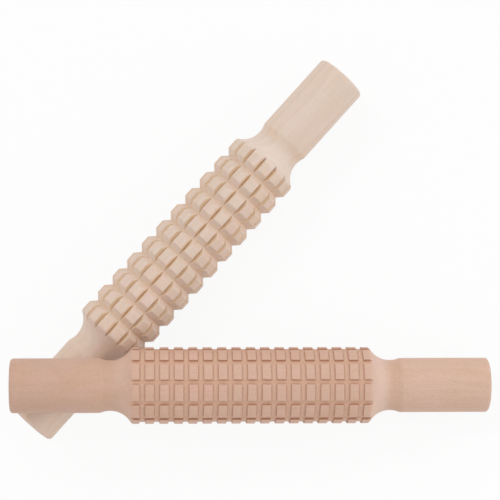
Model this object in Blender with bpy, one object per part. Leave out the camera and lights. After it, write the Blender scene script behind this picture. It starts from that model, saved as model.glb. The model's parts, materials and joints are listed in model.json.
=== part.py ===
"""Two textured rolling pins, each turned from one piece of wood, with one pin leaning on the other.

Both pins share one turned outline: a patterned barrel, a hollow cove at each end of it and two
plain handles. Ring grooves are turned and lengthwise grooves are milled, so the barrel is left
covered in raised blocks. The grid pin has shallow square grooves and flat rectangular blocks. The
stud pin has deep V grooves and peaked studs.

Frame: +Z up, the floor at z = 0, +X along the grid pin seen from above, and the origin at the
bottom centre of the pair.
"""

import math

import bmesh
import bpy
import numpy as np
from mathutils import Matrix, Vector

MM = 0.001

# Turned outline that both pins share
PIN_LENGTH = 250 * MM
BARREL_DIAMETER = 40 * MM
HANDLE_DIAMETER = 28.5 * MM
NECK_FROM_MIDDLE = 73.1 * MM
NECK_DEPTH = 1.1 * MM
COVE_RADIUS = 12.5 * MM
SHOULDER_ROUND = 2 * MM
HANDLE_END_ROUND = 1.8 * MM

# Grid pin: square ring grooves, with a land left at each shoulder, and square lengthwise grooves
GRID_RINGS = 16
GRID_RING_WIDTH = 3 * MM
GRID_RING_DEPTH = 1 * MM
GRID_END_LAND = 2.7 * MM
GRID_ROWS = 11
GRID_ROW_GROOVE_WIDTH = 2.5 * MM
GRID_ROW_GROOVE_DEPTH = 1.15 * MM
GRID_FIRST_GROOVE_ANGLE = math.radians(-0.2)

# Stud pin: V ring grooves, with a land left at each shoulder, and narrower V flutes
STUD_RINGS = 10
STUD_RING_WIDTH = 6.5 * MM
STUD_RING_DEPTH = 3.1 * MM
STUD_END_LAND = 5.1 * MM
STUD_ROWS = 15
STUD_FLUTE_WIDTH = 2.5 * MM
STUD_FLUTE_DEPTH = 2.8 * MM
STUD_FIRST_FLUTE_ANGLE = math.radians(16)

# How the pair lies: the grid pin crosses a handle of the stud pin and leans down to the floor
CROSSING_ANGLE = math.radians(47.4)
CROSSING_ON_STUD_HANDLE_SHARE = 0.51
CROSSING_ON_GRID_HANDLE_SHARE = 0.58
RESTING_GAP = 0.3 * MM

# Fineness of the faceted surfaces, and how far a cutter stands out of the wood
SIDES_PER_ROW = 4
COVE_STEPS = 9
ROUND_STEPS = 3
CUTTER_OVERRUN = 3 * MM
SHARP_EDGE_ANGLE = math.radians(28)
TILT_STEPS = 40
SKIN_STATIONS = 251
SKIN_TURNS = 181

# Wood colours, linear
BEECH = (0.571, 0.381, 0.283, 1)
PALE_MAPLE = (0.730, 0.584, 0.479, 1)
WOOD_ROUGHNESS = 0.55

BARREL_RADIUS = BARREL_DIAMETER / 2
HANDLE_RADIUS = HANDLE_DIAMETER / 2
HALF_LENGTH = PIN_LENGTH / 2
COVE_CENTRE_RADIUS = HANDLE_RADIUS - NECK_DEPTH + COVE_RADIUS


def clear_scene():
    """Remove every object that is already in the scene."""
    for old in list(bpy.data.objects):
        bpy.data.objects.remove(old, do_unlink=True)


def wood_material(name, colour):
    """A plain wood finish of one colour."""
    material = bpy.data.materials.new(name)
    material.use_nodes = True
    shader = material.node_tree.nodes["Principled BSDF"]
    shader.inputs["Base Color"].default_value = colour
    shader.inputs["Roughness"].default_value = WOOD_ROUGHNESS
    shader.inputs["Metallic"].default_value = 0
    return material


def arc(centre, radius, start, end, steps):
    """Points (along, out) on an arc about centre, from one angle to another."""
    points = []
    for step in range(steps + 1):
        angle = start + (end - start) * step / steps
        points.append((centre[0] + radius * math.cos(angle), centre[1] + radius * math.sin(angle)))
    return points


def shoulder_centre():
    """Centre of the round that joins the barrel to the cove: it touches both."""
    out = BARREL_RADIUS - SHOULDER_ROUND
    rise = COVE_CENTRE_RADIUS - out
    run = math.sqrt((COVE_RADIUS + SHOULDER_ROUND) ** 2 - rise ** 2)
    return NECK_FROM_MIDDLE - run, out


def arris_angle():
    """Turn along the cove from the neck to the arris where the handle starts."""
    return math.acos((COVE_RADIUS - NECK_DEPTH) / COVE_RADIUS)


def on_handle(share):
    """Distance from the pin's middle of a place at a share of the handle's length, from the arris."""
    arris = NECK_FROM_MIDDLE + COVE_RADIUS * math.sin(arris_angle())
    return arris + (HALF_LENGTH - arris) * share


def handle_end_centre():
    """Centre of the round on the edge of a handle's flat end."""
    return HALF_LENGTH - HANDLE_END_ROUND, HANDLE_RADIUS - HANDLE_END_ROUND


def end_outline():
    """Half of the turned outline, from the barrel's shoulder out to the flat end of a handle."""
    shoulder = shoulder_centre()
    rise = math.atan2(COVE_CENTRE_RADIUS - shoulder[1], NECK_FROM_MIDDLE - shoulder[0])
    cove = (NECK_FROM_MIDDLE, COVE_CENTRE_RADIUS)
    cove_end = 3 * math.pi / 2 + arris_angle()
    points = arc(shoulder, SHOULDER_ROUND, math.pi / 2, rise, ROUND_STEPS)
    points += arc(cove, COVE_RADIUS, math.pi + rise, cove_end, COVE_STEPS)[1:]
    points += arc(handle_end_centre(), HANDLE_END_ROUND, math.pi / 2, 0, ROUND_STEPS)
    return points


def ring_places(count, width, end_land):
    """Where the ring grooves lie: evenly along the barrel, with end_land left at each shoulder."""
    shoulder_along, _ = shoulder_centre()
    last = shoulder_along - end_land - width / 2
    return [last * (2 * index / (count - 1) - 1) for index in range(count)]


def square_rings():
    """Outline of the grid pin's ring grooves."""
    half, floor = GRID_RING_WIDTH / 2, BARREL_RADIUS - GRID_RING_DEPTH
    points = []
    for place in ring_places(GRID_RINGS, GRID_RING_WIDTH, GRID_END_LAND):
        points += [(place - half, BARREL_RADIUS), (place - half, floor)]
        points += [(place + half, floor), (place + half, BARREL_RADIUS)]
    return points


def v_rings():
    """Outline of the stud pin's ring grooves."""
    half, floor = STUD_RING_WIDTH / 2, BARREL_RADIUS - STUD_RING_DEPTH
    points = []
    for place in ring_places(STUD_RINGS, STUD_RING_WIDTH, STUD_END_LAND):
        points += [(place - half, BARREL_RADIUS), (place, floor), (place + half, BARREL_RADIUS)]
    return points


def square_section():
    """Section (across, out) of a lengthwise groove of the grid pin, open past the barrel."""
    half = GRID_ROW_GROOVE_WIDTH / 2
    floor = BARREL_RADIUS - GRID_ROW_GROOVE_DEPTH
    top = BARREL_RADIUS + CUTTER_OVERRUN
    return [(-half, floor), (half, floor), (half, top), (-half, top)]


def v_section():
    """Section (across, out) of a flute of the stud pin, open past the barrel."""
    top = BARREL_RADIUS + CUTTER_OVERRUN
    floor = BARREL_RADIUS - STUD_FLUTE_DEPTH
    half = STUD_FLUTE_WIDTH / 2 * (top - floor) / STUD_FLUTE_DEPTH
    return [(0, floor), (half, top), (-half, top)]


def link_mesh(name, bm, parent):
    """Turn a bmesh into a linked object under parent, with its faces pointing out."""
    bmesh.ops.recalc_face_normals(bm, faces=bm.faces)
    mesh = bpy.data.meshes.new(name)
    bm.to_mesh(mesh)
    bm.free()
    made = bpy.data.objects.new(name, mesh)
    made.parent = parent
    bpy.context.scene.collection.objects.link(made)
    return made


def turn(name, rings, sides, first_angle, parent):
    """Turn the outline with its ring grooves about the pin's own X axis and close both ends."""
    right = end_outline()
    left = [(-along, out) for along, out in reversed(right)]
    bm = bmesh.new()
    start = Matrix.Rotation(-first_angle, 4, "X")
    verts = [bm.verts.new(start @ Vector((along, 0, out))) for along, out in left + rings + right]
    edges = [bm.edges.new(pair) for pair in zip(verts, verts[1:])]
    bmesh.ops.spin(
        bm, geom=verts + edges, cent=(0, 0, 0), axis=(1, 0, 0), angle=2 * math.pi,
        steps=sides, use_merge=True, use_duplicate=False,
    )
    rims = [edge for edge in bm.edges if edge.is_boundary]
    bmesh.ops.holes_fill(bm, edges=rims, sides=sides)
    return link_mesh(name, bm, parent)


def lengthwise_cutter(name, section, count, first_angle, parent):
    """Straight cutters of one section, spaced evenly round the pin's own X axis."""
    reach = NECK_FROM_MIDDLE
    bm = bmesh.new()
    for index in range(count):
        turned = Matrix.Rotation(-first_angle + 2 * math.pi * index / count, 4, "X")
        corners = [bm.verts.new(turned @ Vector((-reach, across, out))) for across, out in section]
        face = bm.faces.new(corners)
        grown = bmesh.ops.extrude_face_region(bm, geom=[face])
        far = [item for item in grown["geom"] if isinstance(item, bmesh.types.BMVert)]
        bmesh.ops.translate(bm, verts=far, vec=(2 * reach, 0, 0))
    cutter = link_mesh(name, bm, parent)
    cutter.hide_render = True
    cutter.display_type = "WIRE"
    return cutter


def make_pin(name, rings, section, count, first_angle, material, parent):
    """One pin: turned with its ring grooves, then milled with its lengthwise grooves."""
    pin = turn(name, rings, count * SIDES_PER_ROW, first_angle, parent)
    pin.data.materials.append(material)
    pin.data.shade_smooth()
    pin.data.set_sharp_from_angle(angle=SHARP_EDGE_ANGLE)
    cut = pin.modifiers.new("lengthwise grooves", "BOOLEAN")
    cut.operation = "DIFFERENCE"
    cut.solver = "EXACT"
    cut.object = lengthwise_cutter(name + "_cutter", section, count, first_angle, parent)
    return pin


def empty(name, parent=None):
    """A guide that places what hangs under it."""
    made = bpy.data.objects.new(name, None)
    made.parent = parent
    bpy.context.scene.collection.objects.link(made)
    return made


def radius_at(along):
    """Radius of the turned outline, without its grooves, at distances from the pin's middle."""
    places, radii = zip((0, BARREL_RADIUS), *end_outline())
    return np.interp(np.abs(along), places, radii, right=0)


def lean(tilt):
    """Centre and direction of the grid pin, from the stud pin's centre, when it just clears it.

    Both are seen from above where their handles cross. Points all over the grid pin's skin are
    compared with the top of the stud pin below them.
    """
    stud_axis = Vector((math.cos(CROSSING_ANGLE), math.sin(CROSSING_ANGLE), 0))
    axis = Vector((math.cos(tilt), 0, -math.sin(tilt)))
    centre = axis * on_handle(CROSSING_ON_GRID_HANDLE_SHARE)
    centre -= stud_axis * on_handle(CROSSING_ON_STUD_HANDLE_SHARE)
    along, turned = np.meshgrid(
        np.linspace(-HALF_LENGTH, HALF_LENGTH, SKIN_STATIONS),
        np.linspace(0, 2 * math.pi, SKIN_TURNS),
    )
    side = radius_at(along) * np.cos(turned)
    rise = radius_at(along) * np.sin(turned)
    x = centre.x + along * axis.x - rise * axis.z
    y = centre.y + side
    z = along * axis.z + rise * axis.x
    across = y * stud_axis.x - x * stud_axis.y
    stud_radius = radius_at(x * stud_axis.x + y * stud_axis.y)
    above = np.abs(across) < stud_radius
    stud_top = np.sqrt(stud_radius[above] ** 2 - across[above] ** 2)
    centre.z = (stud_top - z[above]).max() + RESTING_GAP
    return centre, axis


def floor_clearance(centre, axis):
    """Height above the floor of the grid pin's low side, at its shoulder or its handle's end."""
    rounds = [(shoulder_centre(), SHOULDER_ROUND), (handle_end_centre(), HANDLE_END_ROUND)]
    return BARREL_RADIUS + min(
        centre.z + along * axis.z - out * axis.x - radius for (along, out), radius in rounds
    )


def lay_out(stud_place, grid_place):
    """Lay the stud pin flat and lean the grid pin from its handle down to the floor."""
    stud_place.rotation_euler = (0, 0, CROSSING_ANGLE)
    low, high = 0, math.pi / 4
    for _ in range(TILT_STEPS):
        tilt = (low + high) / 2
        if floor_clearance(*lean(tilt)) > 0:
            low = tilt
        else:
            high = tilt
    grid_place.location, _ = lean(low)
    grid_place.rotation_euler = (0, low, 0)


def centre_on_floor(root, pins):
    """Move the pair so that its box stands on z = 0 with the origin at its bottom centre."""
    bpy.context.view_layer.update()
    seen = bpy.context.evaluated_depsgraph_get()
    corners = []
    for pin in pins:
        made = pin.evaluated_get(seen)
        corners += [made.matrix_world @ vert.co for vert in made.data.vertices]
    low = Vector([min(corner[axis] for corner in corners) for axis in range(3)])
    high = Vector([max(corner[axis] for corner in corners) for axis in range(3)])
    middle = (low + high) / 2
    root.location = (-middle.x, -middle.y, -low.z)


def build():
    """Make the pair of pins and lay them out."""
    clear_scene()
    root = empty("pair_origin")
    stud_place = empty("stud_pin_place", root)
    grid_place = empty("grid_pin_place", root)
    stud_pin = make_pin(
        "stud_rolling_pin", v_rings(), v_section(), STUD_ROWS, STUD_FIRST_FLUTE_ANGLE,
        wood_material("pale maple", PALE_MAPLE), stud_place,
    )
    grid_pin = make_pin(
        "grid_rolling_pin", square_rings(), square_section(), GRID_ROWS, GRID_FIRST_GROOVE_ANGLE,
        wood_material("beech", BEECH), grid_place,
    )
    lay_out(stud_place, grid_place)
    centre_on_floor(root, [stud_pin, grid_pin])


build()
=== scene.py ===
"""Looks of the two textured rolling pins: finely turned and milled wood on a plain pale floor.

Each pin's solid is replaced by a finer mesh of the same sizes, with worn edges and slightly uneven
cuts. A mesh is a grid of rows along the pin and columns round it, and each grid point lies at the
smaller of its row's and its column's radius, as on wood that is turned first and milled after.
"""
import json
import math

import bpy
import numpy as np
from mathutils import Matrix, Vector, noise

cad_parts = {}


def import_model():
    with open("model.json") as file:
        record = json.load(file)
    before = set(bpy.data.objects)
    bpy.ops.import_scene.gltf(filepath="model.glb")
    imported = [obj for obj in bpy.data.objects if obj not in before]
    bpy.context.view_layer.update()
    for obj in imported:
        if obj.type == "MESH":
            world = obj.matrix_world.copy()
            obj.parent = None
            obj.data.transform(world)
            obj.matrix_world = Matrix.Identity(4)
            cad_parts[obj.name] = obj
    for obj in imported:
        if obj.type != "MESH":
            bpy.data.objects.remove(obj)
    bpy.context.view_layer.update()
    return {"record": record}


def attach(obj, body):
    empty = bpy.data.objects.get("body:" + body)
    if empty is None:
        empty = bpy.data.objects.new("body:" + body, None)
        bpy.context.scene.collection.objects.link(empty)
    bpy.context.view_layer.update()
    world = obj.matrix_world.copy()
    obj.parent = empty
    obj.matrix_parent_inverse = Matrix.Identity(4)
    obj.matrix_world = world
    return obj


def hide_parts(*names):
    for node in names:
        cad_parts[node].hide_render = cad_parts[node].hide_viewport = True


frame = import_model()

# A millimetre in metres, and the box round the solids
MM = 0.001

# Turned outline, as in the solids, with the arris between cove and handle eased
BARREL_RADIUS = 20 * MM
HANDLE_RADIUS = 14.25 * MM
NECK_FROM_MIDDLE = 73.1 * MM
NECK_DEPTH = 1.1 * MM
COVE_RADIUS = 12.5 * MM
SHOULDER_ROUND = 2 * MM
ARRIS_ROUND = 5 * MM
HANDLE_END_ROUND = 1.8 * MM
COVE_CENTRE_RADIUS = HANDLE_RADIUS - NECK_DEPTH + COVE_RADIUS

# Grid pin: square ring grooves and square lengthwise grooves
GRID_RINGS = 16
GRID_RING_WIDTH = 3 * MM
GRID_RING_DEPTH = 1 * MM
GRID_END_LAND = 2.7 * MM
GRID_ROWS = 11
GRID_ROW_WIDTH = 2.5 * MM
GRID_ROW_DEPTH = 1.15 * MM
GRID_FIRST_ANGLE = math.radians(-0.2)
GRID_EDGE_ROUND = 0.16 * MM
GRID_FLOOR_ROUND = 0.16 * MM

# Stud pin: V ring grooves and narrower V flutes
STUD_RINGS = 10
STUD_RING_WIDTH = 6.5 * MM
STUD_RING_DEPTH = 3.1 * MM
STUD_END_LAND = 5.1 * MM
STUD_ROWS = 15
STUD_FLUTE_WIDTH = 2.5 * MM
STUD_FLUTE_DEPTH = 2.8 * MM
STUD_FIRST_ANGLE = math.radians(16)
STUD_EDGE_ROUND = 0.25 * MM

# How finely the surfaces are divided, as shares of a depth, a land between grooves or a radius
STUD_DEPTH_SHARES = (0, 0.012, 0.05, 0.2, 0.4, 0.6, 0.8, 1)
SQUARE_EDGE_SHARES = (0, 0.15, 0.5, 1)
SQUARE_FLOOR_SHARES = (1, 0.35, 0)
LAND_SHARES = (0.12, 0.88)
GRID_LAND_SHARES = (0.08, 0.3, 0.5, 0.7, 0.92)
HANDLE_SHARES = (0.04, 0.2, 0.4, 0.6, 0.8, 0.96)
END_FACE_SHARES = (0.97, 0.7, 0.35)
COVE_STEPS = 22
ROUND_STEPS = 5

# How the cuts wander, and how far the sanded surface lies inside the solid's. A seed says where in
# the noise a pin's draws are taken: the ones round it, along it and out from it lie a step apart
WANDER = 0.11 * MM
RADIAL_WANDER = 0.035 * MM
WANDER_PITCH = 4.5 * MM
SANDING = 0.06 * MM
STUD_SEED = 3
GRID_SEED = 11
SEED_STEP = 20
SEED_SLANT = 3

# Corners whose radii differ by less than this are level, and folds sharper than this stay sharp
LEVEL_TOLERANCE = SANDING / 100
SHARP_EDGE_ANGLE = math.radians(34)

# Strip at each side of the map that an end face takes, as a share of the map between the two
END_STRIP_SHARE = 0.02


def arc(centre, radius, start, end, steps):
    """Points (along, out) on an arc about centre, from one angle to another."""
    angles = np.linspace(start, end, steps + 1)
    return [(centre[0] + radius * math.cos(a), centre[1] + radius * math.sin(a)) for a in angles]


def round_centre(surface_radius, size, side):
    """Centre of the round between the cove and the surface on one side of it."""
    out = surface_radius - size
    run = math.sqrt((COVE_RADIUS + size) ** 2 - (COVE_CENTRE_RADIUS - out) ** 2)
    return NECK_FROM_MIDDLE + side * run, out


SHOULDER = round_centre(BARREL_RADIUS, SHOULDER_ROUND, -1)
ARRIS = round_centre(HANDLE_RADIUS, ARRIS_ROUND, 1)
COVE = (NECK_FROM_MIDDLE, COVE_CENTRE_RADIUS)


def shoulder_place(radius):
    """Distance along the pin where the shoulder or the cove has come down to a radius."""
    rise = math.atan2(COVE[1] - SHOULDER[1], COVE[0] - SHOULDER[0])
    if radius > SHOULDER[1] + SHOULDER_ROUND * math.sin(rise):
        return SHOULDER[0] + math.sqrt(SHOULDER_ROUND ** 2 - (radius - SHOULDER[1]) ** 2)
    return COVE[0] - math.sqrt(COVE_RADIUS ** 2 - (COVE[1] - radius) ** 2)


def end_rows(depths, half_length):
    """(along, out) from the shoulder over the cove, the handle and its end face."""
    rows = [(shoulder_place(BARREL_RADIUS - depth), BARREL_RADIUS - depth) for depth in depths[1:]]
    along, out = rows[-1]
    cove_start = math.atan2(out - COVE[1], along - COVE[0])
    fall = math.atan2(COVE[1] - ARRIS[1], ARRIS[0] - COVE[0])
    rows += arc(COVE, COVE_RADIUS, cove_start, -fall, COVE_STEPS)[1:]
    rows += arc(ARRIS, ARRIS_ROUND, math.pi - fall, math.pi / 2, ROUND_STEPS)[1:]
    end_centre = (half_length - HANDLE_END_ROUND, HANDLE_RADIUS - HANDLE_END_ROUND)
    run = end_centre[0] - ARRIS[0]
    rows += [(ARRIS[0] + run * share, HANDLE_RADIUS) for share in HANDLE_SHARES]
    rows += arc(end_centre, HANDLE_END_ROUND, math.pi / 2, 0, ROUND_STEPS)
    rows += [(half_length, end_centre[1] * share) for share in END_FACE_SHARES]
    return rows


def worn(depth, slope, size):
    """How much wider than its plain sides a groove is at a depth, where its top edge is worn."""
    if depth >= size * (1 - math.cos(slope)):
        return 0
    turned = math.acos(1 - depth / size)
    return size * (math.tan(slope / 2) - math.sin(turned)) + depth / math.tan(slope)


def square_section(width, depth):
    """(half width, depth) down the side of a square groove, worn at its edge and round below."""
    edge = [GRID_EDGE_ROUND * share for share in SQUARE_EDGE_SHARES]
    section = [(width / 2 + worn(down, math.pi / 2, GRID_EDGE_ROUND), down) for down in edge]
    for share in SQUARE_FLOOR_SHARES:
        up = GRID_FLOOR_ROUND * share
        inset = GRID_FLOOR_ROUND - math.sqrt(GRID_FLOOR_ROUND ** 2 - (GRID_FLOOR_ROUND - up) ** 2)
        section.append((width / 2 - inset, depth - up))
    return section


def ring_v_section():
    """(half width, depth) down the side of a V ring groove, at the flutes' depths and its own."""
    slope = math.atan(STUD_RING_DEPTH / (STUD_RING_WIDTH / 2))
    section = []
    for depth in [STUD_FLUTE_DEPTH * share for share in STUD_DEPTH_SHARES] + [STUD_RING_DEPTH]:
        plain = STUD_RING_WIDTH / 2 * (1 - depth / STUD_RING_DEPTH)
        section.append((plain + worn(depth, slope, STUD_EDGE_ROUND), depth))
    return section


def flute_section():
    """(half angle, depth) down the side of a flute, whose sides are flat."""
    spread = math.atan(STUD_FLUTE_WIDTH / 2 / STUD_FLUTE_DEPTH)
    floor_radius = BARREL_RADIUS - STUD_FLUTE_DEPTH
    section = []
    for depth in [STUD_FLUTE_DEPTH * share for share in STUD_DEPTH_SHARES]:
        share = floor_radius / (BARREL_RADIUS - depth)
        plain = spread - math.asin(math.sin(spread) * share)
        wear = worn(depth, math.pi / 2 - spread, STUD_EDGE_ROUND)
        section.append((plain + wear / BARREL_RADIUS, depth))
    return section


def across_groove(place, section):
    """(place, radius) from one side of a groove to the other, with a V's bottom once."""
    near = [(place - half, BARREL_RADIUS - depth) for half, depth in section]
    far = [(place + half, BARREL_RADIUS - depth) for half, depth in reversed(section) if half > 0]
    return near + far


def land(start, stop, shares):
    """(place, radius) over the plain land between two grooves."""
    return [(start + (stop - start) * share, BARREL_RADIUS) for share in shares]


def barrel_rows(rings, end_land, section, shares):
    """(along, radius) over the barrel, from one shoulder to the other."""
    last_place = SHOULDER[0] - end_land - section[0][0]
    rows, start = [(-SHOULDER[0], BARREL_RADIUS)], -SHOULDER[0]
    for place in np.linspace(-last_place, last_place, rings):
        rows += land(start, place - section[0][0], shares) + across_groove(place, section)
        start = place + section[0][0]
    return rows + land(start, SHOULDER[0], shares) + [(SHOULDER[0], BARREL_RADIUS)]


def pin_rows(barrel, ends):
    """(along, radius) over the whole pin, which is the same end for end."""
    return [(-along, out) for along, out in reversed(ends)] + barrel + ends


def columns_round(count, first_angle, section, shares):
    """(angle, radius) once round the barrel."""
    step = 2 * math.pi / count
    columns = []
    for place in first_angle + step * np.arange(count):
        columns += across_groove(place, section)
        columns += land(place + section[0][0], place + step - section[0][0], shares)
    return columns


def wander(point, seed):
    """A smooth random offset between about -1 and 1, the same each run."""
    return noise.noise(Vector(point) / WANDER_PITCH + Vector((seed, -seed, seed / SEED_SLANT)))


def grid_points(rows, columns, seed):
    """Places of the grid's points in the pin's own frame, with its axis along X."""
    points = np.zeros((len(rows), len(columns), 3))
    for i, (along, row_radius) in enumerate(rows):
        for j, (angle, column_radius) in enumerate(columns):
            radius = min(row_radius, column_radius)
            share = radius / BARREL_RADIUS
            place = (along, BARREL_RADIUS * math.sin(angle), BARREL_RADIUS * math.cos(angle))
            turn = WANDER * wander(place, seed) / BARREL_RADIUS
            shift = WANDER * wander(place, seed + SEED_STEP) if abs(along) < SHOULDER[0] else 0
            depth = SANDING + RADIAL_WANDER * wander(place, seed + 2 * SEED_STEP)
            radius -= share * depth
            points[i, j] = (
                along + shift, radius * math.sin(angle + turn), radius * math.cos(angle + turn)
            )
    return points


def evened(lengths):
    """Places from 0 to 1 along a line of steps of these lengths."""
    places = np.concatenate([[0], np.cumsum(lengths)])
    return places / places[-1]


def grid_faces(points, radii):
    """Faces of the grid, split along the ridge where the corners aren't level, with its map."""
    rows, columns = radii.shape
    around = np.roll(points, -1, axis=1)
    u = evened(np.linalg.norm(points[1:] - points[:-1], axis=2).max(axis=1))
    v = evened(np.linalg.norm(around - points, axis=2).max(axis=0))
    faces, places = [], []
    for i in range(rows - 1):
        for j in range(columns):
            k = (j + 1) % columns
            here, ahead = i * columns, (i + 1) * columns
            corners = [here + j, ahead + j, ahead + k, here + k]
            mapped = [(u[i], v[j]), (u[i + 1], v[j]), (u[i + 1], v[j + 1]), (u[i], v[j + 1])]
            lean = radii[i, j] + radii[i + 1, k] - radii[i + 1, j] - radii[i, k]
            if abs(lean) < LEVEL_TOLERANCE:
                parts = [(0, 1, 2, 3)]
            elif lean > 0:
                parts = [(0, 1, 2), (0, 2, 3)]
            else:
                parts = [(0, 1, 3), (1, 2, 3)]
            faces += [[corners[n] for n in part] for part in parts]
            places += [mapped[n] for part in parts for n in part]
    return faces, places, v


def close_ends(points, faces, places, v):
    """Adds a middle point and a fan of faces to each end."""
    rows, columns = points.shape[:2]
    middles = [points[0].mean(axis=0), points[-1].mean(axis=0)]
    for j in range(columns):
        k = (j + 1) % columns
        half = (v[j] + v[j + 1]) / 2
        faces.append([rows * columns, j, k])
        places += [(-END_STRIP_SHARE, half), (0, v[j]), (0, v[j + 1])]
        start = (rows - 1) * columns
        faces.append([rows * columns + 1, start + k, start + j])
        places += [(1 + END_STRIP_SHARE, half), (1, v[j + 1]), (1, v[j])]
    return middles


def pin_object(name, rows, columns, seed, place, material):
    """The fine mesh of one pin, where its solid lies."""
    points = grid_points(rows, columns, seed)
    row_radii, column_radii = np.array(rows)[:, 1], np.array(columns)[:, 1]
    radii = np.minimum(row_radii[:, None], column_radii[None, :])
    faces, places, v = grid_faces(points, radii)
    middles = close_ends(points, faces, places, v)
    mesh = bpy.data.meshes.new(name)
    mesh.from_pydata(np.vstack([points.reshape(-1, 3), middles]).tolist(), [], faces)
    layer = mesh.uv_layers.new(name="OFBake")
    spread = (np.array(places) + (END_STRIP_SHARE, 0)) / (1 + 2 * END_STRIP_SHARE, 1)
    layer.uv.foreach_set("vector", spread.astype(np.float32).ravel())
    mesh.transform(place)
    mesh.shade_smooth()
    mesh.set_sharp_from_angle(angle=SHARP_EDGE_ANGLE)
    mesh.materials.append(material)
    pin = bpy.data.objects.new(name, mesh)
    bpy.context.scene.collection.objects.link(pin)
    return pin


def pin_place(near, far):
    """Frame of a pin, and half its sanded length, from the two ends that the record names."""
    ends = {mount["name"]: Vector(mount["pos_m"]) for mount in frame["record"]["mounts"]}
    run = ends[far] - ends[near]
    axis = run.normalized()
    side = Vector((0, 0, 1)).cross(axis).normalized()
    turned = Matrix((axis, side, axis.cross(side))).transposed().to_4x4()
    return Matrix.Translation((ends[near] + ends[far]) / 2) @ turned, run.length / 2 - SANDING


class Nodes:
    """Short calls that build one material's node tree."""

    def __init__(self, name):
        self.material = bpy.data.materials.new(name)
        self.material.use_nodes = True
        self.tree = self.material.node_tree
        self.shader = self.tree.nodes["Principled BSDF"]

    def set(self, socket, value):
        """Links a socket to another one, or gives it a value."""
        if isinstance(value, bpy.types.NodeSocket):
            self.tree.links.new(value, socket)
        else:
            socket.default_value = value

    def math(self, operation, *values):
        """One arithmetic step."""
        made = self.tree.nodes.new("ShaderNodeMath")
        made.operation = operation
        for socket, value in zip(made.inputs, values):
            self.set(socket, value)
        return made.outputs[0]

    def both(self, first, second):
        """The product of two values."""
        return self.math("MULTIPLY", first, second)

    def length(self, first, second):
        """The length of the line that has these two sides."""
        squares = self.math("ADD", self.both(first, first), self.both(second, second))
        return self.math("SQRT", squares)

    def between(self, value, limits):
        """The first limit where the value is 0, and the second where it is 1."""
        low, high = limits
        return self.math("MULTIPLY_ADD", value, high - low, low)

    def sum(self, values, shares, start):
        """A start value, and a share of each named value."""
        total = start
        for name, share in shares.items():
            total = self.math("MULTIPLY_ADD", values[name], share, total)
        return total

    def ramp(self, value, limits, smooth=True):
        """0 before the first limit and 1 past the second, whichever of them is the higher."""
        made = self.tree.nodes.new("ShaderNodeMapRange")
        made.interpolation_type = "SMOOTHSTEP" if smooth else "LINEAR"
        for name, number in zip(("Value", "From Min", "From Max"), (value, *limits)):
            self.set(made.inputs[name], number)
        return made.outputs["Result"]

    def blend(self, amount, first, second):
        """A colour between two."""
        made = self.tree.nodes.new("ShaderNodeMix")
        made.data_type = "RGBA"
        self.set(made.inputs["Factor"], amount)
        self.set(made.inputs["A"], first)
        self.set(made.inputs["B"], second)
        return made.outputs["Result"]

    def stretched(self, point, scale):
        """A point multiplied by a scale for each axis."""
        made = self.tree.nodes.new("ShaderNodeVectorMath")
        made.operation = "MULTIPLY"
        self.set(made.inputs[0], point)
        made.inputs[1].default_value = scale
        return made.outputs["Vector"]

    def pattern(self, point, name):
        """One of the noises, between about 0.25 and 0.75, or from 0 to 1 over what counts of it."""
        kind = NOISES[name]
        made = self.tree.nodes.new("ShaderNodeTexNoise")
        self.set(made.inputs["Vector"], self.stretched(point, kind["waves"]))
        made.inputs["Scale"].default_value = 1
        made.inputs["Detail"].default_value = kind["detail"]
        made.inputs["Roughness"].default_value = kind["roughness"]
        value = made.outputs["Fac"]
        return self.ramp(value, kind["counted"]) if "counted" in kind else value


# Places in a material, in millimetres along the pin from its middle and out from its axis: where
# something starts to show and where it is full
SHOULDER_MM = SHOULDER[0] / MM
ARRIS_MM = ARRIS[0] / MM
BARREL_MM = BARREL_RADIUS / MM
BARREL_FADE = (SHOULDER_MM + 1.5, SHOULDER_MM - 0.5)
NECK_START = (SHOULDER_MM, SHOULDER_MM + 3)
NECK_STOP = (ARRIS_MM - 4, ARRIS_MM - 12)
BAND_STOP = (ARRIS_MM + 1, ARRIS_MM - 2)
PALE_END_START = (45, 75)
DULL_END_START = (-50, -110)
END_GRAIN_DEPTHS = (0.4, 0.1)
FLOOR_RADII = (BARREL_MM - 0.6, BARREL_MM - 0.9)

# The corners of the square grooves, which take painted shade along the feet of their walls, in
# millimetres
GRID_RING_HALF = GRID_RING_WIDTH / 2 / MM
GRID_RING_FIRST = -(SHOULDER[0] - GRID_END_LAND - GRID_EDGE_ROUND) / MM + GRID_RING_HALF
GRID_RING_PITCH = -2 * GRID_RING_FIRST / (GRID_RINGS - 1)
GRID_ROW_HALF = GRID_ROW_WIDTH / 2 / MM
GRID_ROW_PITCH = 2 * math.pi * BARREL_MM / GRID_ROWS
CORNER_SHADE_REACHES = (0.75, 0.25)
CORNER_SHADE_OVERLAP = 0.1
CORNER_SHADE_DEPTHS = (0.2, 0.6)

# Noises in the wood: waves per millimetre along and across it, how fine and how rough it is, and
# the values of it that count as none and as full
NOISES = {
    "blotch": {"waves": (0.03, 0.08, 0.08), "detail": 2, "roughness": 0.5, "counted": (0.36, 0.64)},
    "blush": {"waves": (0.05, 0.15, 0.15), "detail": 2, "roughness": 0.6, "counted": (0.46, 0.62)},
    "patch": {"waves": (0.25, 0.1, 0.1), "detail": 2, "roughness": 0.5, "counted": (0.38, 0.6)},
    "fibre": {"waves": (0.05, 1.6, 1.6), "detail": 3, "roughness": 0.6, "counted": (0.38, 0.66)},
    "fleck": {"waves": (0.7, 3.2, 3.2), "detail": 1, "roughness": 0.5, "counted": (0.56, 0.68)},
    "grain": {"waves": (1.6, 2.6, 2.6), "detail": 2, "roughness": 0.7},
    "lathe": {"waves": (1.3, 0.02, 0.02), "detail": 3, "roughness": 0.7},
    "drift": {"waves": (0.012, 0.05, 0.05), "detail": 2, "roughness": 0.5},
}
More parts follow.
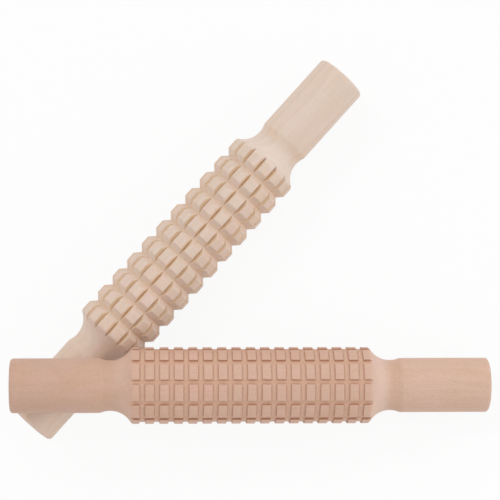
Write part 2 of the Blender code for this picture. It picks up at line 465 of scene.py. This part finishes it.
PLAIN_PATTERNS = ("blotch", "blush", "fibre", "fleck", "grain", "lathe")

# How far the growth rings drift, in millimetres, and where in a year late wood starts and ends
DRIFT = 9
LATE_WOOD_SHARES = (0.15, 0.9)

# The least and the most of the band beside the cove that shows through its patches
PATCH_SHARES = (0.5, 0.9)

# How far a surface faces out from the axis where it starts to be a wall and where it is one
WALL_SLOPE_SHARES = (0.62, 0.2)

# Colours of each wood and of what lies over it, and how strongly each shows. Only square grooves
# have a floor, and corners with painted shade along the feet of their walls
FINISHES = {
    "pale_maple": {
        "plain": (0.745, 0.600, 0.495, 1),
        "warm": (0.755, 0.560, 0.430, 1),
        "late": (0.660, 0.480, 0.365, 1),
        "fleck": (0.620, 0.430, 0.330, 1),
        "groove": (0.860, 0.650, 0.410, 1),
        "wall": (0.860, 0.650, 0.410, 1),
        "pale": (0.780, 0.670, 0.580, 1),
        "neck": (0.820, 0.720, 0.650, 1),
        "band": (0.735, 0.540, 0.390, 1),
        "blush": (0.770, 0.590, 0.510, 1),
        "end": (0.520, 0.390, 0.300, 1),
        "pith": (22, -61),
        "ring_pitch": 3.4,
        "band_start": (ARRIS_MM - 7, ARRIS_MM - 3),
        "groove_depths": (1.9, 3.2),
        "blotch_share": 0.7,
        "blush_share": 0.7,
        "ring_share": 0.30,
        "fibre_share": 0.20,
        "fleck_share": 0.18,
        "groove_share": 0.25,
        "wall_share": 0.8,
        "pale_share": 0.3,
        "neck_shares": (0.15, 0.35),
        "band_shares": (0.12, 0.4),
        "end_share": 0.35,
        "dull_share": 0.025,
    },
    "beech": {
        "plain": (0.660, 0.430, 0.324, 1),
        "warm": (0.657, 0.404, 0.280, 1),
        "late": (0.577, 0.350, 0.245, 1),
        "fleck": (0.477, 0.266, 0.189, 1),
        "floor": (0.705, 0.450, 0.320, 1),
        # Painted shade in the deepest grooves, the lengthwise ones
        "groove": (0.600, 0.333, 0.211, 1),
        # Painted shade on the steep walls of the grooves
        "wall": (0.340, 0.160, 0.095, 1),
        "pale": (0.760, 0.570, 0.450, 1),
        "neck": (0.760, 0.580, 0.495, 1),
        "band": (0.590, 0.360, 0.245, 1),
        "blush": (0.700, 0.435, 0.345, 1),
        "end": (0.420, 0.270, 0.190, 1),
        # Painted shade along the feet of the square grooves' walls
        "corner_shade": (0.500, 0.240, 0.145, 1),
        "pith": (-48, -55),
        "ring_pitch": 2.6,
        "band_start": (ARRIS_MM - 12, ARRIS_MM - 6),
        "groove_depths": (1.09, 1.18),
        "blotch_share": 0.7,
        "blush_share": 0.7,
        "ring_share": 0.14,
        "fibre_share": 0.12,
        "fleck_share": 0.35,
        "floor_share": 0.75,
        "groove_share": 0.45,
        "wall_share": 0.55,
        "corner_shade_share": 0.6,
        "pale_share": 0.28,
        "neck_shares": (0.15, 0.5),
        "band_shares": (0.12, 0.4),
        "end_share": 0.35,
        "dull_share": 0.1,
    },
}

# What is laid over the plain wood, in order, and the colour of each. One that has no share in the
# table above is laid on as strong as it is found
LAYERS = (
    ("blotch", "warm"),
    ("blush", "blush"),
    ("pale", "pale"),
    ("ring", "late"),
    ("fibre", "late"),
    ("fleck", "fleck"),
    ("neck", "neck"),
    ("band", "band"),
    ("floor", "floor"),
    ("groove", "groove"),
    ("wall", "wall"),
    ("corner_shade", "corner_shade"),
    ("end", "end"),
)

# Share of each pattern in how light, how rough and how high the surface is
TONE_SHARES = {"grain": 0.16, "lathe": 0.06}
TONE_MIDDLE = 0.89
ROUGHNESS = 0.42
ROUGHNESS_SHARES = {"grain": 0.25, "groove": 0.1}
HEIGHT_SHARES = {"fibre": 1, "grain": 0.8, "lathe": 0.5, "fleck": -0.6}
BUMP_SHARE = 0.5
BUMP_HEIGHT = 0.04 * MM
SHINE = 0.5


def turned_back(nodes, place, source):
    """A node that turns the object's point or normal into the pin's own frame."""
    coordinates = nodes.tree.nodes.new("ShaderNodeTexCoord")
    made = nodes.tree.nodes.new("ShaderNodeMapping")
    made.vector_type = "TEXTURE"
    made.inputs["Rotation"].default_value = place.to_euler()
    nodes.set(made.inputs["Vector"], coordinates.outputs[source])
    return made


def pin_point(nodes, place):
    """The shaded point in millimetres in the pin's own frame."""
    turned = turned_back(nodes, place, "Object")
    turned.inputs["Location"].default_value = place.translation
    turned.inputs["Scale"].default_value = (MM, MM, MM)
    return turned.outputs["Vector"]


def facing_out(nodes, place, point, out):
    """1 where the surface faces straight out from the pin's axis, and 0 on a wall square to it."""
    turned = turned_back(nodes, place, "Normal")
    product = nodes.tree.nodes.new("ShaderNodeVectorMath")
    product.operation = "DOT_PRODUCT"
    nodes.set(product.inputs[0], turned.outputs["Vector"])
    nodes.set(product.inputs[1], nodes.stretched(point, (0, 1, 1)))
    return nodes.math("DIVIDE", product.outputs["Value"], out)


def late_wood(nodes, look, point, y, z):
    """1 on the darker part of each growth ring round the log's pith."""
    across = nodes.math("SUBTRACT", y, look["pith"][0])
    down = nodes.math("SUBTRACT", z, look["pith"][1])
    drift = nodes.both(nodes.pattern(point, "drift"), DRIFT)
    reach = nodes.math("ADD", nodes.length(across, down), drift)
    year = nodes.math("FRACT", nodes.math("DIVIDE", reach, look["ring_pitch"]))
    low, high = LATE_WOOD_SHARES
    return nodes.both(nodes.ramp(year, (low, high)), nodes.ramp(year, (1, high)))


def corner_shade_beside(nodes, distance, half, other, other_half):
    """1 along the foot of a groove's wall, where a block stands beside it: where painted shade
    lies.
    """
    foot = nodes.ramp(distance, (half - CORNER_SHADE_REACHES[0], half - CORNER_SHADE_REACHES[1]))
    within = nodes.math("LESS_THAN", distance, half + CORNER_SHADE_OVERLAP)
    beside = nodes.ramp(other, (other_half - CORNER_SHADE_REACHES[1], other_half + CORNER_SHADE_OVERLAP))
    return nodes.both(nodes.both(foot, within), beside)


def shaded_corners(nodes, x, y, z, out):
    """1 along the feet of the walls of all the square grooves, where painted shade lies."""
    ring = nodes.math("PINGPONG", nodes.math("SUBTRACT", x, GRID_RING_FIRST), GRID_RING_PITCH / 2)
    turn = nodes.math("SUBTRACT", nodes.math("ARCTAN2", y, z), GRID_FIRST_ANGLE)
    row = nodes.math("PINGPONG", nodes.both(turn, BARREL_MM), GRID_ROW_PITCH / 2)
    corner = nodes.math(
        "MAXIMUM",
        corner_shade_beside(nodes, ring, GRID_RING_HALF, row, GRID_ROW_HALF),
        corner_shade_beside(nodes, row, GRID_ROW_HALF, ring, GRID_RING_HALF),
    )
    below = nodes.ramp(out, [BARREL_MM - depth for depth in CORNER_SHADE_DEPTHS])
    return nodes.both(corner, below)


def wood_patterns(nodes, look, place, half_length):
    """How much of each pattern and worn place there is at the shaded point, from 0 to 1."""
    point = pin_point(nodes, place)
    split = nodes.tree.nodes.new("ShaderNodeSeparateXYZ")
    nodes.set(split.inputs[0], point)
    x, y, z = split.outputs
    along = nodes.math("ABSOLUTE", x)
    out = nodes.length(y, z)
    found = {name: nodes.pattern(point, name) for name in PLAIN_PATTERNS}
    found["ring"] = late_wood(nodes, look, point, y, z)

    in_barrel = nodes.ramp(along, BARREL_FADE)
    # The deep grooves: painted shade on the beech, a warmer tan on the maple
    depths = [BARREL_MM - depth for depth in look["groove_depths"]]
    found["groove"] = nodes.both(nodes.ramp(out, depths, smooth=False), in_barrel)
    level = facing_out(nodes, place, point, out)
    # The walls: painted shade on the beech, a warmer tan on the maple
    found["wall"] = nodes.both(nodes.ramp(level, WALL_SLOPE_SHARES), in_barrel)
    if "floor" in look:
        found["floor"] = nodes.both(nodes.ramp(out, FLOOR_RADII), in_barrel)
        # Painted shade along the feet of the square grooves' walls
        found["corner_shade"] = nodes.both(shaded_corners(nodes, x, y, z, out), in_barrel)

    found["pale"] = nodes.ramp(x, PALE_END_START)
    found["dull"] = nodes.ramp(x, DULL_END_START)
    neck = nodes.both(nodes.ramp(along, NECK_START), nodes.ramp(along, NECK_STOP))
    found["neck"] = nodes.both(neck, nodes.between(found["pale"], look["neck_shares"]))
    band = nodes.both(nodes.ramp(along, look["band_start"]), nodes.ramp(along, BAND_STOP))
    band = nodes.both(band, nodes.between(nodes.pattern(point, "patch"), PATCH_SHARES))
    found["band"] = nodes.both(band, nodes.between(found["pale"], look["band_shares"]))
    found["end"] = nodes.ramp(along, [half_length / MM - depth for depth in END_GRAIN_DEPTHS])
    return found


def wood(slot, place, half_length):
    """Bare sanded wood: growth rings, fibres, flecks and blotches, warmer in the grooves, and on
    the grid pin painted shade on the groove walls, in the deepest grooves and along their corners.
    """
    look = FINISHES[slot]
    nodes = Nodes(slot)
    found = wood_patterns(nodes, look, place, half_length)

    colour = look["plain"]
    for name, tint in LAYERS:
        if name in found:
            amount = nodes.both(found[name], look.get(name + "_share", 1))
            colour = nodes.blend(amount, colour, look[tint])
    toned = nodes.tree.nodes.new("ShaderNodeHueSaturation")
    nodes.set(toned.inputs["Color"], colour)
    shares = {**TONE_SHARES, "dull": -look["dull_share"]}
    nodes.set(toned.inputs["Value"], nodes.sum(found, shares, TONE_MIDDLE))
    nodes.set(nodes.shader.inputs["Base Color"], toned.outputs["Color"])

    nodes.set(nodes.shader.inputs["Roughness"], nodes.sum(found, ROUGHNESS_SHARES, ROUGHNESS))
    nodes.shader.inputs["Specular IOR Level"].default_value = SHINE
    bump = nodes.tree.nodes.new("ShaderNodeBump")
    bump.inputs["Strength"].default_value = BUMP_SHARE
    bump.inputs["Distance"].default_value = BUMP_HEIGHT
    nodes.set(bump.inputs["Height"], nodes.sum(found, HEIGHT_SHARES, 0))
    nodes.set(nodes.shader.inputs["Normal"], bump.outputs["Normal"])
    return nodes.material


def seen_directly(tree):
    """1 for rays from the camera, or off or through a shiny surface, and 0 for others."""
    path = tree.nodes.new("ShaderNodeLightPath")
    total = path.outputs["Is Camera Ray"]
    for name in ("Is Glossy Ray", "Is Transmission Ray"):
        more = tree.nodes.new("ShaderNodeMath")
        more.operation = "MAXIMUM"
        tree.links.new(total, more.inputs[0])
        tree.links.new(path.outputs[name], more.inputs[1])
        total = more.outputs[0]
    return total


# The floor, in metres, and how much of it is glow where it is seen directly
FLOOR_SIZE = 6
FLOOR_COLOUR = (0.92, 0.92, 0.92, 1)
FLOOR_ROUGHNESS = 0.9
FLOOR_GLOW_SHARE = 0.9

# Light from all round, and distant lamps: how strong and how many degrees wide each is, and the
# direction that it comes from
AMBIENT = 0.715
WHITE = (1, 1, 1, 1)
LAMPS = {
    "key": (0.55, 12, (-0.8, 0.7, 1.25)),
    "fill": (0.9, 60, (1, -0.12, 0.25)),
    "back": (0.22, 60, (0.4, 1, 0.6)),
}

# The view, fitted to the outlines in the photograph
CAMERA_TARGET = Vector((0.966 * MM, -1.457 * MM, 20 * MM))
CAMERA_DISTANCE = 1069.9 * MM
CAMERA_BACK = Vector((0.0977, -0.1569, 0.9828))
CAMERA_ROLL = math.radians(-0.417)
CAMERA_LENS = 144
SENSOR_WIDTH = 36
CLIP_START = CAMERA_DISTANCE / 100
CLIP_END = 3 * FLOOR_SIZE


def floor():
    """A plain pale floor, seen nearly white, that keeps the pins' shadow."""
    half = FLOOR_SIZE / 2
    corners = [(-half, -half, 0), (half, -half, 0), (half, half, 0), (-half, half, 0)]
    mesh = bpy.data.meshes.new("floor")
    mesh.from_pydata(corners, [], [(0, 1, 2, 3)])
    nodes = Nodes("pale_floor")
    nodes.shader.inputs["Base Color"].default_value = FLOOR_COLOUR
    nodes.shader.inputs["Roughness"].default_value = FLOOR_ROUGHNESS
    nodes.shader.inputs["Specular IOR Level"].default_value = 0
    glow = nodes.tree.nodes.new("ShaderNodeEmission")
    mixed = nodes.tree.nodes.new("ShaderNodeMixShader")
    nodes.set(mixed.inputs["Fac"], nodes.both(seen_directly(nodes.tree), FLOOR_GLOW_SHARE))
    nodes.set(mixed.inputs[1], nodes.shader.outputs["BSDF"])
    nodes.set(mixed.inputs[2], glow.outputs["Emission"])
    nodes.set(nodes.tree.nodes["Material Output"].inputs["Surface"], mixed.outputs["Shader"])
    mesh.materials.append(nodes.material)
    made = bpy.data.objects.new("floor", mesh)
    bpy.context.scene.collection.objects.link(made)


def world():
    """Even light from all round, with a white background behind the floor."""
    made = bpy.data.worlds.new("studio")
    made.use_nodes = True
    bpy.context.scene.world = made
    tree = made.node_tree
    around = tree.nodes["Background"]
    around.inputs["Color"].default_value = WHITE
    around.inputs["Strength"].default_value = AMBIENT
    behind = tree.nodes.new("ShaderNodeBackground")
    behind.inputs["Color"].default_value = WHITE
    mixed = tree.nodes.new("ShaderNodeMixShader")
    tree.links.new(seen_directly(tree), mixed.inputs["Fac"])
    tree.links.new(around.outputs[0], mixed.inputs[1])
    tree.links.new(behind.outputs[0], mixed.inputs[2])
    tree.links.new(mixed.outputs[0], tree.nodes["World Output"].inputs["Surface"])


def lamp(name):
    """One of the distant lamps."""
    strength, width, coming_from = LAMPS[name]
    light = bpy.data.lights.new(name, "SUN")
    light.energy = strength
    light.angle = math.radians(width)
    made = bpy.data.objects.new(name, light)
    made.rotation_euler = Vector(coming_from).to_track_quat("Z", "Y").to_euler()
    bpy.context.scene.collection.objects.link(made)


def camera():
    """The photograph's view: nearly straight down, through a long lens."""
    lens = bpy.data.cameras.new("camera")
    lens.lens = CAMERA_LENS
    lens.sensor_width = SENSOR_WIDTH
    lens.clip_start = CLIP_START
    lens.clip_end = CLIP_END
    made = bpy.data.objects.new("camera", lens)
    back = CAMERA_BACK.normalized()
    right = Vector((0, 1, 0)).cross(back).normalized()
    level = Matrix((right, back.cross(right), back)).transposed().to_4x4()
    turned = level @ Matrix.Rotation(CAMERA_ROLL, 4, "Z")
    made.matrix_world = Matrix.Translation(CAMERA_TARGET + back * CAMERA_DISTANCE) @ turned
    bpy.context.scene.collection.objects.link(made)
    bpy.context.scene.camera = made


def stud_pin():
    """The pale pin with V grooves, in place of its solid."""
    place, half_length = pin_place("stud_pin_near_end", "stud_pin_far_end")
    depths = [STUD_FLUTE_DEPTH * share for share in STUD_DEPTH_SHARES]
    barrel = barrel_rows(STUD_RINGS, STUD_END_LAND, ring_v_section(), LAND_SHARES)
    rows = pin_rows(barrel, end_rows(depths, half_length))
    columns = columns_round(STUD_ROWS, STUD_FIRST_ANGLE, flute_section(), LAND_SHARES)
    material = wood("pale_maple", place, half_length)
    pin = pin_object("stud_pin_wood", rows, columns, STUD_SEED, place, material)
    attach(pin, "stud_pin")
    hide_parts("stud_rolling_pin")


def grid_pin():
    """The tan pin with square grooves, in place of its solid."""
    place, half_length = pin_place("grid_pin_high_end", "grid_pin_low_end")
    ring = square_section(GRID_RING_WIDTH, GRID_RING_DEPTH)
    row = square_section(GRID_ROW_WIDTH, GRID_ROW_DEPTH)
    barrel = barrel_rows(GRID_RINGS, GRID_END_LAND, ring, GRID_LAND_SHARES)
    rows = pin_rows(barrel, end_rows([depth for _, depth in row], half_length))
    around = [(half / BARREL_RADIUS, depth) for half, depth in row]
    columns = columns_round(GRID_ROWS, GRID_FIRST_ANGLE, around, GRID_LAND_SHARES)
    material = wood("beech", place, half_length)
    pin = pin_object("grid_pin_wood", rows, columns, GRID_SEED, place, material)
    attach(pin, "grid_pin")
    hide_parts("grid_rolling_pin")


bpy.context.scene.view_settings.view_transform = "Standard"
floor()
world()
for lamp_name in LAMPS:
    lamp(lamp_name)
camera()
stud_pin()
grid_pin()
